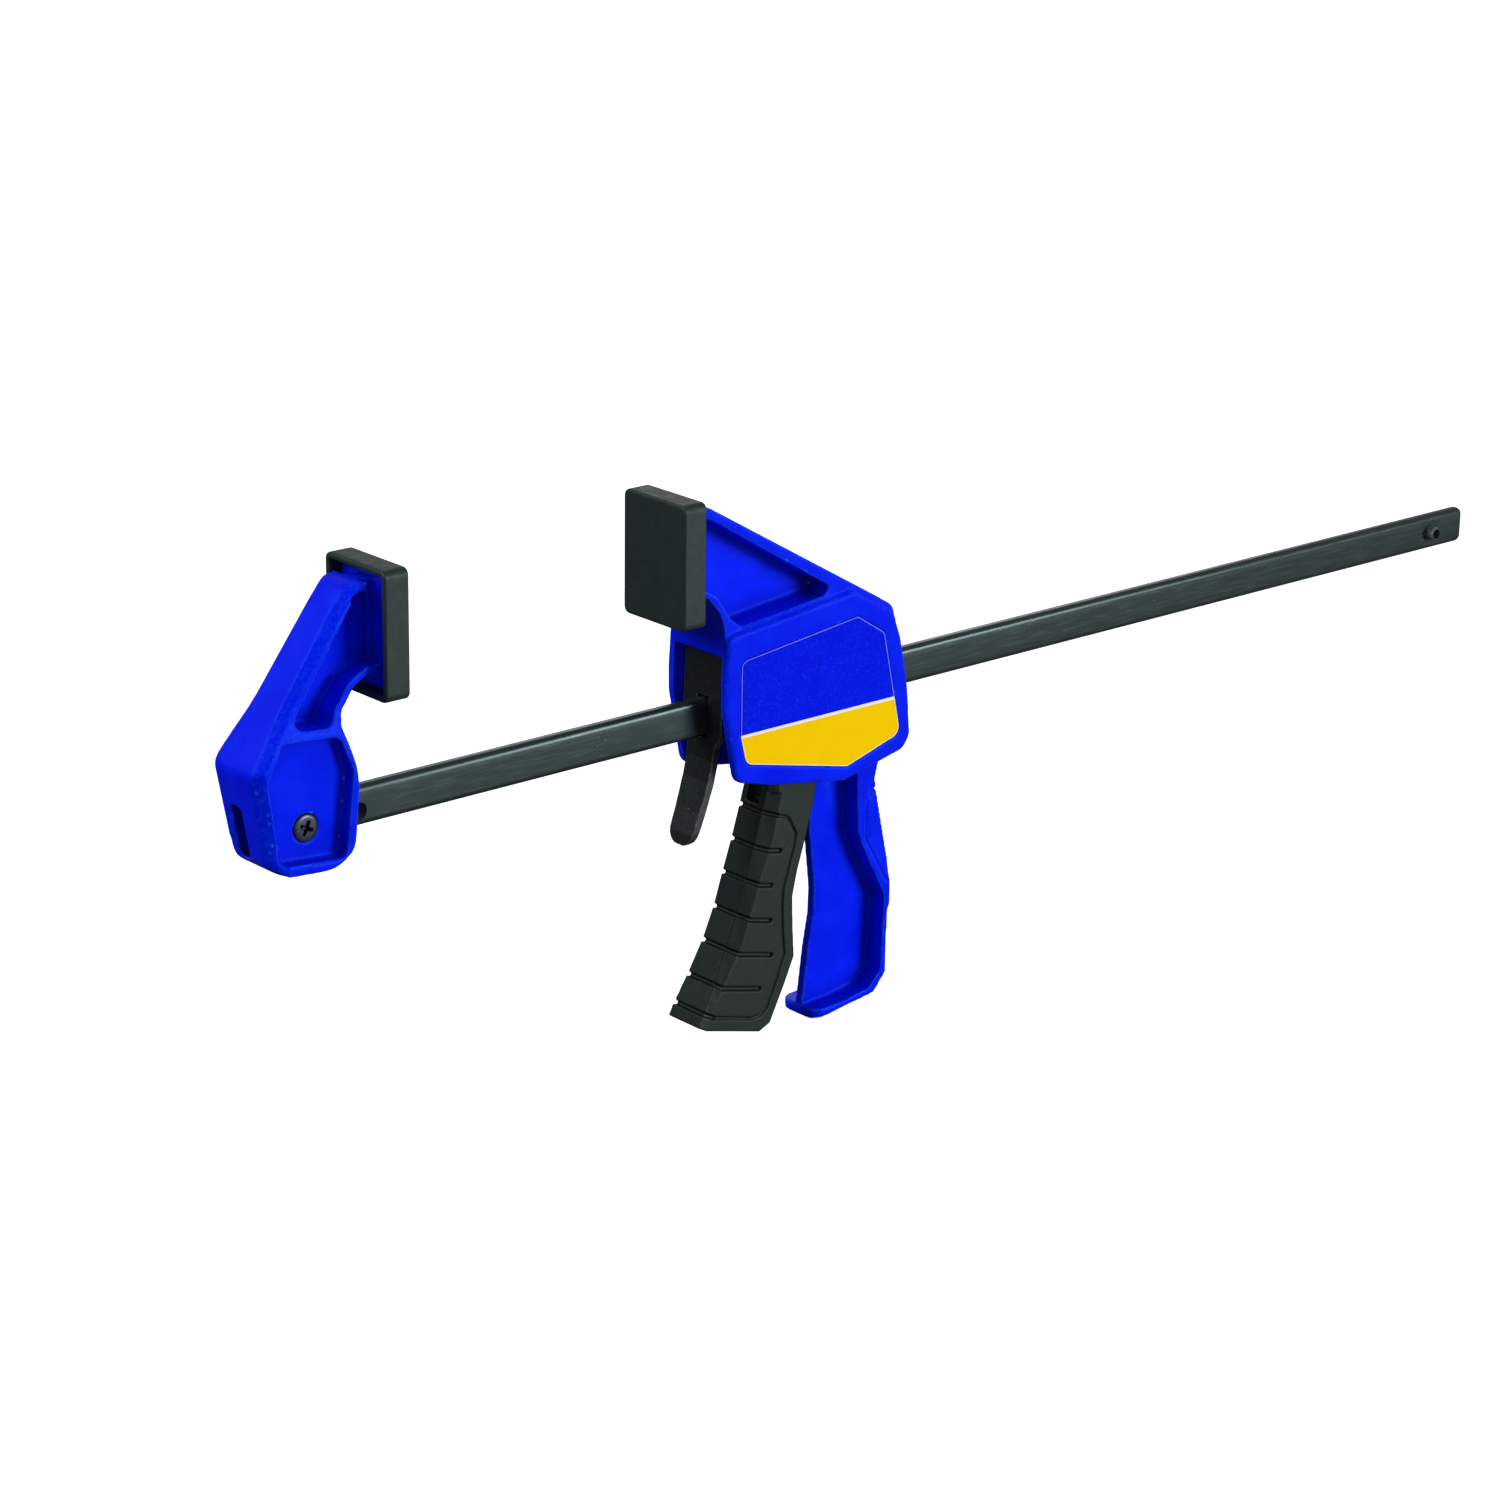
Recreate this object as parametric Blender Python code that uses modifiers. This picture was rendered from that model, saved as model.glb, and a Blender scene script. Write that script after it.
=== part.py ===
"""One-handed trigger bar clamp, 300 mm class, open 92 mm.

Metres. X runs along the bar from the fixed jaw to the stop pin, Z is up and Y is across.
The origin is the middle of the fixed pad's working face. The dimensions below are in
millimetres from a point PAD_Z lower, on the bar's centre line, and main() drops the
finished pieces by that much.
"""

import math

import bmesh
import bpy
import mathutils
import numpy as np

MM = 0.001
GAP = 0.3

# Bar
BAR_X = (-41.5, 430.0)
BAR_HEIGHT = 11.2
BAR_THICK = 4.2
BAR_EDGE_RADIUS = 1.7
BAR_END_RADIUS = 2.2
SPARE_HOLE = (-9.3, -1.4, 2.6)
STOP_PIN_X = 414.0
STOP_PIN_RADIUS = 2.3
STOP_PIN_LENGTH = 10.2

# Pads, alike on both jaws
PAD_WIDTH = 26.4
PAD_HEIGHT = 35.6
PAD_THICK = 7.8
PAD_FACE = 1.5
PAD_RIM = 1.3
PAD_Z = 48.2
OPENING = 92.2
PLATE_THICK = 2.0

# Fixed jaw
FIXED_HALF = 11.1
SCREW_X = -29.6
SCREW_HEAD_RADIUS = 4.05
SCREW_RADIUS = 2.1
# How much of its full width the fixed jaw keeps at each height, and three points on each
# chamfer along its back: two on the flat's edge and one on the side's
TAPER = [(17.0, 1.0), (21.0, 0.96), (25.5, 0.87), (30.0, 0.78), (34.0, 0.74), (64.0, 0.68)]
ARM_CHAMFER = [(-46.9, 8.5, 17.9), (-14.9, 7.3, 62.0), (-44.2, 11.1, 19.0)]
FOOT_CHAMFER = [(-46.9, 8.5, 17.4), (-42.2, 7.9, -8.0), (-44.1, 11.1, 17.4)]

# Moving jaw
ARM_HALF = 11.4
PANEL_HALF = 12.9
CAVITY_HALF = 10.3
FLANGE_HALF = 8.0
WEB_HALF = 1.5
LABEL_DEPTH = 0.7
LABEL_THICK = 0.5

# Trigger and its pivot
PIVOT = (135.0, 13.5)
PIVOT_RADIUS = 2.5
TRIGGER_HALF = 7.2
CHANNEL_HALF = 4.5

# Levers and springs
LEVER_THICK = 2.4
DRIVE_X = 141.0
DRIVE_THICK = 2.6
RELEASE_PIVOT = (111.9, 20.5)
SPRING_RADIUS = 6.95

FIXED_OUTLINE = [
    (-47.2, 17.6, 4.0), (-14.8, 62.4, 4.5), (-9.0, 62.4, 2.0), (-2.8, 61.6, 0.0),
    (-2.8, 38.0, 0.0), (-9.6, 38.2, 3.0), (-14.1, 35.6, 3.0), (-18.8, 29.6, 3.0),
    (-19.2, 25.9, 3.0), (-15.6, 14.5, 4.0), (-15.0, 9.5, 4.0), (-16.6, -8.2, 3.0),
    (-22.8, -12.1, 3.0), (-42.0, -10.7, 3.0),
]
LOWER_POCKET = [
    (-38.1, 25.0, 2.5), (-20.5, 23.5, 2.5), (-16.9, 13.8, 2.5), (-19.6, -9.4, 2.0),
    (-39.6, -7.7, 2.0), (-43.4, 15.6, 3.0),
]
UPPER_POCKET = [
    (-35.3, 27.5, 2.5), (-22.7, 26.2, 2.5), (-20.9, 30.4, 3.0), (-15.6, 37.2, 3.0),
    (-10.0, 40.0, 2.0), (-4.6, 40.0, 1.0), (-4.6, 58.6, 1.0), (-12.4, 60.2, 3.0),
]
ARM_OUTLINE = [
    (95.0, 62.4, 0.0), (101.6, 64.2, 3.0), (171.3, 23.4, 4.0), (173.2, 13.9, 3.0),
    (176.2, -1.5, 3.0), (177.6, -16.3, 3.0), (175.1, -20.0, 2.0), (166.2, -22.0, 2.0),
    (152.3, -24.9, 3.0), (125.5, -20.4, 3.0), (112.4, -17.0, 4.0), (110.2, -6.7, 3.0),
    (107.9, 5.0, 3.0), (107.7, 12.0, 3.0), (108.2, 20.0, 3.0), (108.2, 28.4, 3.0),
    (106.4, 33.2, 4.0), (101.8, 38.4, 4.0), (95.0, 39.4, 0.0),
]
PANEL_OUTLINE = [
    (108.5, 25.9, 3.0), (154.9, 30.8, 3.0), (170.2, 21.9, 4.0), (173.2, 13.9, 3.0),
    (176.3, -1.5, 3.0), (177.9, -16.5, 3.0), (175.4, -20.2, 2.0), (166.4, -22.2, 2.0),
    (152.4, -25.2, 3.0), (125.5, -20.7, 3.0), (112.0, -17.2, 4.0), (110.0, -6.7, 3.0),
    (107.7, 5.0, 3.0), (107.6, 12.0, 3.0),
]
ARM_POCKET = [
    (98.6, 61.4, 1.0), (103.0, 60.2, 2.5), (147.0, 33.4, 2.2), (144.6, 31.0, 2.2),
    (114.6, 27.7, 2.5), (110.6, 30.4, 3.0), (105.4, 38.0, 4.0), (98.6, 42.0, 1.0),
]
LABEL_OUTLINE = [
    (112.9, 18.4, 2.2), (156.4, 23.6, 2.0), (166.8, 16.8, 2.5), (173.7, -15.2, 3.0),
    (153.3, -21.2, 3.0), (115.0, -12.4, 3.0), (112.9, -4.0, 4.0),
]
FLANGE_OUTLINE = [
    (171.6, -18.0, 0.0), (168.6, -28.8, 3.0), (169.0, -32.0, 3.0), (175.7, -62.0, 4.0),
    (175.9, -69.4, 1.0), (174.9, -71.0, 1.0), (174.6, -90.0, 3.0), (169.9, -95.7, 3.0),
    (146.7, -99.4, 1.2), (146.7, -97.4, 0.6), (167.8, -93.9, 3.0), (172.3, -89.2, 3.0),
    (173.2, -66.0, 3.0), (164.2, -48.7, 4.0), (162.3, -43.8, 3.0), (161.7, -27.0, 3.0),
    (162.4, -17.0, 0.0),
]
WEB_OUTLINE = [
    (159.5, -14.0, 0.0), (150.3, -25.0, 3.0), (149.3, -41.6, 5.0), (151.6, -61.3, 6.0),
    (151.3, -69.0, 6.0), (149.5, -79.0, 6.0), (147.5, -95.0, 1.0), (147.5, -98.4, 0.0),
    (168.5, -95.1, 1.0), (173.2, -89.0, 1.0), (174.0, -66.0, 1.0), (167.0, -30.0, 0.0),
    (170.0, -14.0, 0.0),
]
# Rings down the trigger: front flat (x, z, half width), side edge (x, z), rear edge (x, z)
TRIGGER_RINGS = [
    ((130.2, -23.5, 4.8), (134.5, -23.5), (147.2, -23.0)),
    ((128.1, -31.0, 4.8), (132.5, -31.2), (145.6, -32.0)),
    ((125.1, -40.9, 4.8), (130.1, -41.0), (142.2, -44.0)),
    ((121.9, -50.2, 4.8), (126.3, -50.3), (140.0, -51.0)),
    ((118.8, -59.8, 4.8), (122.8, -59.9), (138.3, -58.5)),
    ((114.8, -69.2, 4.9), (119.0, -69.8), (138.6, -67.5)),
    ((110.1, -78.8, 5.7), (113.2, -79.3), (139.2, -77.0)),
    ((107.6, -83.2, 6.1), (110.4, -83.9), (135.6, -85.0)),
    ((105.0, -88.0, 6.5), (107.8, -88.8), (130.4, -95.4)),
    ((103.8, -90.6, 6.7), (106.5, -92.0), (126.4, -97.2)),
]
TRIGGER_HEAD = [
    (130.2, -26.0, 0.0), (129.6, -10.0, 2.0), (129.0, 5.0, 2.0), (129.0, 19.5, 5.9),
    (141.0, 19.5, 5.9), (140.4, 8.0, 3.0), (138.6, -2.0, 2.0), (140.9, -6.5, 2.0),
    (140.7, -11.2, 2.0), (138.0, -14.4, 1.0), (147.2, -22.4, 1.0), (146.9, -26.0, 0.0),
]
CHANNEL_OUTLINE = [
    (134.2, -9.4, 0.0), (132.0, -31.8, 0.0), (129.0, -41.9, 0.0), (125.8, -51.3, 0.0),
    (122.6, -61.0, 0.0), (118.6, -70.5, 0.0), (114.2, -80.2, 0.0), (112.2, -84.5, 0.0),
    (108.8, -100.0, 0.0), (160.0, -100.0, 0.0), (160.0, -9.4, 0.0),
]
LEVER_FACE = [
    (110.8, 21.4), (109.4, -6.0), (108.9, -12.0), (107.5, -18.0), (104.8, -26.3),
    (102.3, -33.0), (101.5, -36.3),
]
# Outline of the release lever seen from the front: (half width, z, corner radius)
LEVER_SIDES = [(8.4, 22.5, 0.5), (8.4, -4.2, 1.0), (5.7, -8.4, 3.0), (5.5, -20.0, 3.0), (4.9, -36.5, 4.4)]


def clear_scene():
    for obj in list(bpy.data.objects):
        bpy.data.objects.remove(obj)


def new_collection(name, hidden):
    collection = bpy.data.collections.new(name)
    collection.hide_render = hidden
    bpy.context.scene.collection.children.link(collection)
    return collection


def material(name, colour, metallic, roughness):
    made = bpy.data.materials.new(name)
    made.use_nodes = True
    shader = made.node_tree.nodes["Principled BSDF"]
    shader.inputs["Base Color"].default_value = (*colour, 1.0)
    shader.inputs["Metallic"].default_value = metallic
    shader.inputs["Roughness"].default_value = roughness
    made.diffuse_color = (*colour, 1.0)
    return made


def mesh_object(name, bm):
    """A mesh object from a bmesh in millimetres, faces turned outwards."""
    bmesh.ops.remove_doubles(bm, verts=bm.verts, dist=0.0005)
    bmesh.ops.recalc_face_normals(bm, faces=bm.faces)
    bmesh.ops.scale(bm, vec=(MM, MM, MM), verts=bm.verts)
    mesh = bpy.data.meshes.new(name)
    bm.to_mesh(mesh)
    bm.free()
    obj = bpy.data.objects.new(name, mesh)
    PARTS.objects.link(obj)
    return obj


def rounded(corners, segments=4):
    """Points of a closed outline whose corners (x, z, radius) are filleted."""
    points = []
    count = len(corners)
    for i, (x, z, radius) in enumerate(corners):
        px, pz = corners[i - 1][:2]
        nx, nz = corners[(i + 1) % count][:2]
        before = math.hypot(px - x, pz - z)
        after = math.hypot(nx - x, nz - z)
        ux, uz = (px - x) / before, (pz - z) / before
        vx, vz = (nx - x) / after, (nz - z) / after
        angle = math.acos(max(-1.0, min(1.0, ux * vx + uz * vz)))
        if radius <= 0 or angle > math.radians(176):
            points.append((x, z))
            continue
        reach = min(radius / math.tan(angle / 2), 0.48 * before, 0.48 * after)
        radius = reach * math.tan(angle / 2)
        bx, bz = ux + vx, uz + vz
        size = math.hypot(bx, bz)
        far = radius / math.sin(angle / 2)
        cx, cz = x + bx / size * far, z + bz / size * far
        start = math.atan2(z + uz * reach - cz, x + ux * reach - cx)
        end = math.atan2(z + vz * reach - cz, x + vx * reach - cx)
        sweep = (end - start + math.pi) % (2 * math.pi) - math.pi
        for k in range(segments + 1):
            a = start + sweep * k / segments
            points.append((cx + radius * math.cos(a), cz + radius * math.sin(a)))
    return points


def prism(name, outline, y0, y1, segments=4):
    """The outline in XZ extruded from y0 to y1."""
    bm = bmesh.new()
    points = rounded(outline, segments)
    low = [bm.verts.new((x, y0, z)) for x, z in points]
    high = [bm.verts.new((x, y1, z)) for x, z in points]
    bm.faces.new(low)
    bm.faces.new(high)
    for i in range(len(points)):
        j = (i + 1) % len(points)
        bm.faces.new((low[i], low[j], high[j], high[i]))
    return mesh_object(name, bm)


def box(name, xs, ys, zs):
    corners = [(xs[0], zs[0], 0), (xs[1], zs[0], 0), (xs[1], zs[1], 0), (xs[0], zs[1], 0)]
    return prism(name, corners, *ys)


def cylinder(name, centre, radius, y0, y1, segments=24):
    """A round bar along Y through centre (x, z)."""
    step = 2 * math.pi / segments
    ring = [
        (centre[0] + radius * math.cos(step * k), centre[1] + radius * math.sin(step * k), 0)
        for k in range(segments)
    ]
    return prism(name, ring, y0, y1)


def apply_boolean(target, tool, operation):
    modifier = target.modifiers.new("boolean", "BOOLEAN")
    modifier.operation = operation
    modifier.solver = "EXACT"
    modifier.object = tool
    graph = bpy.context.evaluated_depsgraph_get()
    made = bpy.data.meshes.new_from_object(target.evaluated_get(graph))
    target.modifiers.clear()
    old = target.data
    target.data = made
    bpy.data.meshes.remove(old)
    bpy.data.objects.remove(tool)


def cut(target, *tools):
    for tool in tools:
        apply_boolean(target, tool, "DIFFERENCE")


def join(target, *tools):
    for tool in tools:
        apply_boolean(target, tool, "UNION")


def keep_common(target, tool):
    apply_boolean(target, tool, "INTERSECT")


def finish(obj, surface, pivot=None, angle=32):
    """Gives the object its material, smooth shading and an origin on its joint."""
    obj.data.materials.clear()
    obj.data.materials.append(surface)
    bm = bmesh.new()
    bm.from_mesh(obj.data)
    bmesh.ops.dissolve_degenerate(bm, dist=0.000002, edges=bm.edges)
    bm.to_mesh(obj.data)
    bm.free()
    if pivot:
        shift = (pivot[0] * MM, 0.0, pivot[1] * MM)
        for vertex in obj.data.vertices:
            for axis in range(3):
                vertex.co[axis] -= shift[axis]
        obj.location = shift
    for polygon in obj.data.polygons:
        polygon.use_smooth = True
    obj.data.set_sharp_from_angle(angle=math.radians(angle))
    return obj


def bevel_rim(obj, half, width, segments, chosen):
    """Bevels the outline edges at y = +-half whose middle passes the test chosen(x, z)."""
    bm = bmesh.new()
    bm.from_mesh(obj.data)
    edges = []
    for edge in bm.edges:
        ys = [abs(v.co.y) / MM for v in edge.verts]
        if any(abs(y - half) > 0.01 for y in ys) or len(edge.link_faces) != 2:
            continue
        if edge.verts[0].co.y * edge.verts[1].co.y < 0:
            continue
        middle = (edge.verts[0].co + edge.verts[1].co) / (2 * MM)
        if edge.calc_face_angle(0.0) > 0.5 and chosen(middle.x, middle.z):
            edges.append(edge)
    bmesh.ops.bevel(
        bm, geom=edges, offset=width * MM, segments=segments, profile=0.5, affect="EDGES"
    )
    bm.to_mesh(obj.data)
    bm.free()


def slice_off(obj, points, side):
    """Cuts away what lies outside the plane through three points, on one side in Y."""
    p, q, r = (mathutils.Vector((x, side * y, z)) * MM for x, y, z in points)
    normal = (q - p).cross(r - p).normalized()
    if normal.x > 0:
        normal.negate()
    bm = bmesh.new()
    bm.from_mesh(obj.data)
    geometry = list(bm.verts) + list(bm.edges) + list(bm.faces)
    cut_made = bmesh.ops.bisect_plane(
        bm, geom=geometry, plane_co=p, plane_no=normal, clear_outer=True
    )
    rim = [e for e in cut_made["geom_cut"] if isinstance(e, bmesh.types.BMEdge)]
    bmesh.ops.holes_fill(bm, edges=rim, sides=0)
    bmesh.ops.recalc_face_normals(bm, faces=bm.faces)
    bm.to_mesh(obj.data)
    bm.free()


def pull_in_arm(obj):
    """Narrows the fixed jaw across Y towards its top, as TAPER says."""
    bm = bmesh.new()
    bm.from_mesh(obj.data)
    for z, _ in TAPER[:-1]:
        geometry = list(bm.verts) + list(bm.edges) + list(bm.faces)
        bmesh.ops.bisect_plane(bm, geom=geometry, plane_co=(0, 0, z * MM), plane_no=(0, 0, 1))
    heights = [z for z, _ in TAPER]
    shares = [share for _, share in TAPER]
    for vertex in bm.verts:
        vertex.co.y *= float(np.interp(vertex.co.z / MM, heights, shares))
    bmesh.ops.triangulate(bm, faces=bm.faces)
    bm.to_mesh(obj.data)
    bm.free()


def make_bar(surface):
    half_z = BAR_HEIGHT / 2
    outline = [
        (BAR_X[0], -half_z, 0), (BAR_X[1], -half_z, BAR_END_RADIUS),
        (BAR_X[1], half_z, BAR_END_RADIUS), (BAR_X[0], half_z, 0),
    ]
    bar = prism("bar", outline, -BAR_THICK / 2, BAR_THICK / 2)
    bevel_rim(bar, BAR_THICK / 2, BAR_EDGE_RADIUS, 3, lambda x, z: True)
    cut(
        bar,
        cylinder("c", (SCREW_X, 0), SCREW_RADIUS + GAP, -5, 5),
        cylinder("c", SPARE_HOLE[:2], SPARE_HOLE[2], -5, 5),
        cylinder("c", (STOP_PIN_X, 0), STOP_PIN_RADIUS + 0.15, -5, 5),
    )
    return finish(bar, surface)


def make_stop_pin(surface):
    half = STOP_PIN_LENGTH / 2
    pin = cylinder("stop_pin", (STOP_PIN_X, 0), STOP_PIN_RADIUS, -half, half)
    cut(pin, cylinder("c", (STOP_PIN_X, 0), STOP_PIN_RADIUS - 0.8, -half - 1, half + 1))
    return finish(pin, surface)


def rounded_block(name, xs, width, height, radius):
    """A block between two X planes with its four long edges rounded, centred on PAD_Z."""
    bm = bmesh.new()
    half_y, half_z = width / 2, height / 2
    outline = [
        (-half_y, PAD_Z - half_z, radius), (half_y, PAD_Z - half_z, radius),
        (half_y, PAD_Z + half_z, radius), (-half_y, PAD_Z + half_z, radius),
    ]
    points = rounded(outline)
    near = [bm.verts.new((xs[0], y, z)) for y, z in points]
    far = [bm.verts.new((xs[1], y, z)) for y, z in points]
    bm.faces.new(near)
    bm.faces.new(far)
    for i in range(len(points)):
        j = (i + 1) % len(points)
        bm.faces.new((near[i], near[j], far[j], far[i]))
    return mesh_object(name, bm)


def make_pad(name, face_x, away, surface):
    """A moulded cup over the jaw's plate. away is the X direction from its face to its back."""
    back = face_x + away * PAD_THICK
    floor = face_x + away * PAD_FACE
    pad = rounded_block(name, sorted((face_x, back)), PAD_WIDTH, PAD_HEIGHT, 2.0)
    bevel = pad.modifiers.new("edges", "BEVEL")
    bevel.width = 0.5 * MM
    bevel.segments = 2
    bevel.limit_method = "ANGLE"
    bevel.angle_limit = math.radians(60)
    graph = bpy.context.evaluated_depsgraph_get()
    made = bpy.data.meshes.new_from_object(pad.evaluated_get(graph))
    pad.modifiers.clear()
    pad.data = made
    hollow = sorted((floor, back + away * 2))
    rim = 2 * PAD_RIM
    cut(pad, rounded_block("c", hollow, PAD_WIDTH - rim, PAD_HEIGHT - rim, 1.2))
    return finish(pad, surface)


def pad_plate(face_x, away):
    """The jaw's own plate, which stands inside the pad."""
    start = face_x + away * (PAD_FACE + GAP)
    end = start + away * PLATE_THICK
    inset = 2 * (PAD_RIM + GAP)
    return rounded_block("p", sorted((start, end)), PAD_WIDTH - inset, PAD_HEIGHT - inset, 1.0)


def make_fixed_jaw(surface):
    jaw = prism("fixed_jaw", FIXED_OUTLINE, -FIXED_HALF, FIXED_HALF)
    for side in (-1, 1):
        slice_off(jaw, ARM_CHAMFER, side)
        slice_off(jaw, FOOT_CHAMFER, side)
    pull_in_arm(jaw)
    join(jaw, pad_plate(0.0, -1))
    for side in (-1, 1):
        deep = sorted((side * 7.0, side * 14))
        cut(jaw, prism("c", LOWER_POCKET, *deep))
        deep = sorted((side * 1.4, side * 14))
        cut(jaw, prism("c", UPPER_POCKET, *deep))
    half_z = BAR_HEIGHT / 2 + GAP
    half_y = BAR_THICK / 2 + GAP
    cut(
        jaw,
        box("c", (BAR_X[0] - GAP, 0), (-half_y, half_y), (-half_z, half_z)),
        prism("c", [(-60, -7.8, 0), (-40, -7.8, 0), (-40, 6.8, 0), (-60, 6.8, 0)], -0.6, 4.4),
        cylinder("c", (SCREW_X, 0), SCREW_RADIUS + GAP, -12, 12),
        cylinder("c", (SCREW_X, 0), SCREW_HEAD_RADIUS + GAP, -12, -4.8),
        cylinder("c", (SCREW_X, 0), 4.5, 4.6, 12),
    )
    return finish(jaw, surface)


def make_screw(surface):
    screw = cylinder("fixed_jaw_screw", (SCREW_X, 0), SCREW_HEAD_RADIUS, -7.4, -5.1)
    join(screw, cylinder("s", (SCREW_X, 0), SCREW_RADIUS, -5.6, 7.8))
    cross = [
        box("c", (SCREW_X - 2.3, SCREW_X + 2.3), (-8, -6.2), (-0.55, 0.55)),
        box("c", (SCREW_X - 0.55, SCREW_X + 0.55), (-8, -6.2), (-2.3, 2.3)),
    ]
    cut(screw, *cross)
    return finish(screw, surface)


def make_nut(surface):
    hexagon = [
        (SCREW_X + 4.0 * math.cos(math.radians(60 * k)), 4.0 * math.sin(math.radians(60 * k)), 0)
        for k in range(6)
    ]
    nut = prism("fixed_jaw_nut", hexagon, 4.9, 7.4)
    cut(nut, cylinder("c", (SCREW_X, 0), SCREW_RADIUS + 0.12, 4, 9))
    return finish(nut, surface)


def make_moving_jaw(surface):
    """Arm, mechanism housing and handle, one moulding."""
    jaw = prism("moving_jaw", ARM_OUTLINE, -ARM_HALF, ARM_HALF)
    bevel_rim(jaw, ARM_HALF, 1.6, 2, lambda x, z: z > 64.6 - (x - 101.6) * 0.585)
    panel = prism("p", PANEL_OUTLINE, -PANEL_HALF, PANEL_HALF)
    bevel_rim(panel, PANEL_HALF, 1.0, 2, lambda x, z: True)
    join(jaw, panel)
    join(jaw, prism("f", FLANGE_OUTLINE, -FLANGE_HALF, FLANGE_HALF))
    hollow_housing(jaw)
    join(jaw, prism("w", WEB_OUTLINE, -WEB_HALF, WEB_HALF))
    join(jaw, pad_plate(OPENING, 1))
    for side in (-1, 1):
        cut(jaw, prism("c", ARM_POCKET, *sorted((side * 3.0, side * 14))))
        start = side * (PANEL_HALF - LABEL_DEPTH)
        cut(jaw, prism("c", LABEL_OUTLINE, *sorted((start, side * 15))))
    cut(jaw, cylinder("c", PIVOT, PIVOT_RADIUS + 0.15, -14, 14))
    return finish(jaw, surface)


def hollow_housing(jaw):
    """Chambers for the levers, springs and trigger, and the bar's way through."""
    wide = (-CAVITY_HALF, CAVITY_HALF)
    rear_floor = [
        (119.8, -40, 0), (168.0, -40, 0), (168.0, -23.0, 2), (169.5, -15.4, 1),
        (159.0, -15.4, 1), (157.0, -12.9, 1), (171.6, -12.9, 1), (171.6, 20.2, 2),
        (119.8, 20.2, 2),
    ]
    front_chamber = [
        (100, -40, 0), (117.6, -40, 0), (117.6, 22.4, 1), (109.6, 22.4, 1),
        (109.2, 19.6, 0.5), (100, 19.6, 0),
    ]
    upper = prism("c", [(119.8, -12.8, 0), *rear_floor[5:]], *wide)
    below = [(119.8, -40, 0), (161.3, -40, 0), (161.3, -23.0, 2), (163.5, -15.4, 1),
             (159.0, -15.4, 1), (157.0, -12.7, 1), (119.8, -12.7, 0)]
    cut(jaw, upper, prism("c", below, *wide), prism("c", front_chamber, *wide))
    cut(jaw, box("c", (117.0, 121.0), wide, (-40, -11.0)))
    bar_y = BAR_THICK / 2 + GAP
    bar_z = BAR_HEIGHT / 2 + GAP
    cut(jaw, box("c", (116, 190), (-bar_y, bar_y), (-bar_z, bar_z)))


def loft(name, rings):
    """A closed skin through rings that all have the same number of points."""
    bm = bmesh.new()
    made = [[bm.verts.new(point) for point in ring] for ring in rings]
    count = len(made[0])
    for upper, lower in zip(made, made[1:]):
        for i in range(count):
            j = (i + 1) % count
            bm.faces.new((upper[i], upper[j], lower[j], lower[i]))
    bm.faces.new(made[0])
    bm.faces.new(made[-1])
    bmesh.ops.triangulate(bm, faces=bm.faces)
    return mesh_object(name, bm)


def trigger_ring(front, side, rear):
    half = TRIGGER_HALF
    return [
        (front[0], -front[2], front[1]), (front[0], front[2], front[1]),
        (side[0], half, side[1]), (rear[0], half, rear[1]),
        (rear[0], -half, rear[1]), (side[0], -half, side[1]),
    ]


def make_trigger(surface):
    trigger = loft("trigger", [trigger_ring(*stations) for stations in TRIGGER_RINGS])
    head = prism("h", TRIGGER_HEAD, -TRIGGER_HALF, TRIGGER_HALF)
    bevel_rim(head, TRIGGER_HALF, 2.2, 1, lambda x, z: x < 130.6)
    join(trigger, head)
    half_y = BAR_THICK / 2 + 0.8
    cut(
        trigger,
        prism("c", CHANNEL_OUTLINE, -CHANNEL_HALF, CHANNEL_HALF),
        box("c", (100, 160), (-half_y, half_y), (-9.4, 7.6)),
        cylinder("c", PIVOT, PIVOT_RADIUS + 0.08, -14, 14),
    )
    return finish(trigger, surface, PIVOT)


def make_release_lever(surface):
    """A pressed plate with a window for the bar and a finger tail that curves forward."""
    back = []
    for i, (x, z) in enumerate(LEVER_FACE):
        before = LEVER_FACE[max(0, i - 1)]
        after = LEVER_FACE[min(len(LEVER_FACE) - 1, i + 1)]
        dx, dz = after[0] - before[0], after[1] - before[1]
        size = math.hypot(dx, dz)
        back.append((x - dz / size * LEVER_THICK, z + dx / size * LEVER_THICK, 0))
    outline = [(x, z, 0) for x, z in LEVER_FACE] + back[::-1]
    lever = prism("release_lever", outline, -10, 10)
    bm = bmesh.new()
    right = rounded([*LEVER_SIDES, *[(-y, z, r) for y, z, r in LEVER_SIDES[::-1]]])
    near = [bm.verts.new((95, y, z)) for y, z in right]
    far = [bm.verts.new((120, y, z)) for y, z in right]
    bm.faces.new(near)
    bm.faces.new(far)
    for i in range(len(right)):
        j = (i + 1) % len(right)
        bm.faces.new((near[i], near[j], far[j], far[i]))
    keep_common(lever, mesh_object("c", bm))
    cut(lever, box("c", (90, 120), (-2.5, 2.5), (-6.1, 6.1)))
    return finish(lever, surface, RELEASE_PIVOT)


def make_drive_lever(name, x, surface):
    plate = box(name, (x, x + DRIVE_THICK), (-8.0, 8.0), (-12.4, 12.0))
    cut(plate, box("c", (x - 5, x + 10), (-2.4, 2.4), (-5.9, 5.9)))
    return finish(plate, surface)


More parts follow.
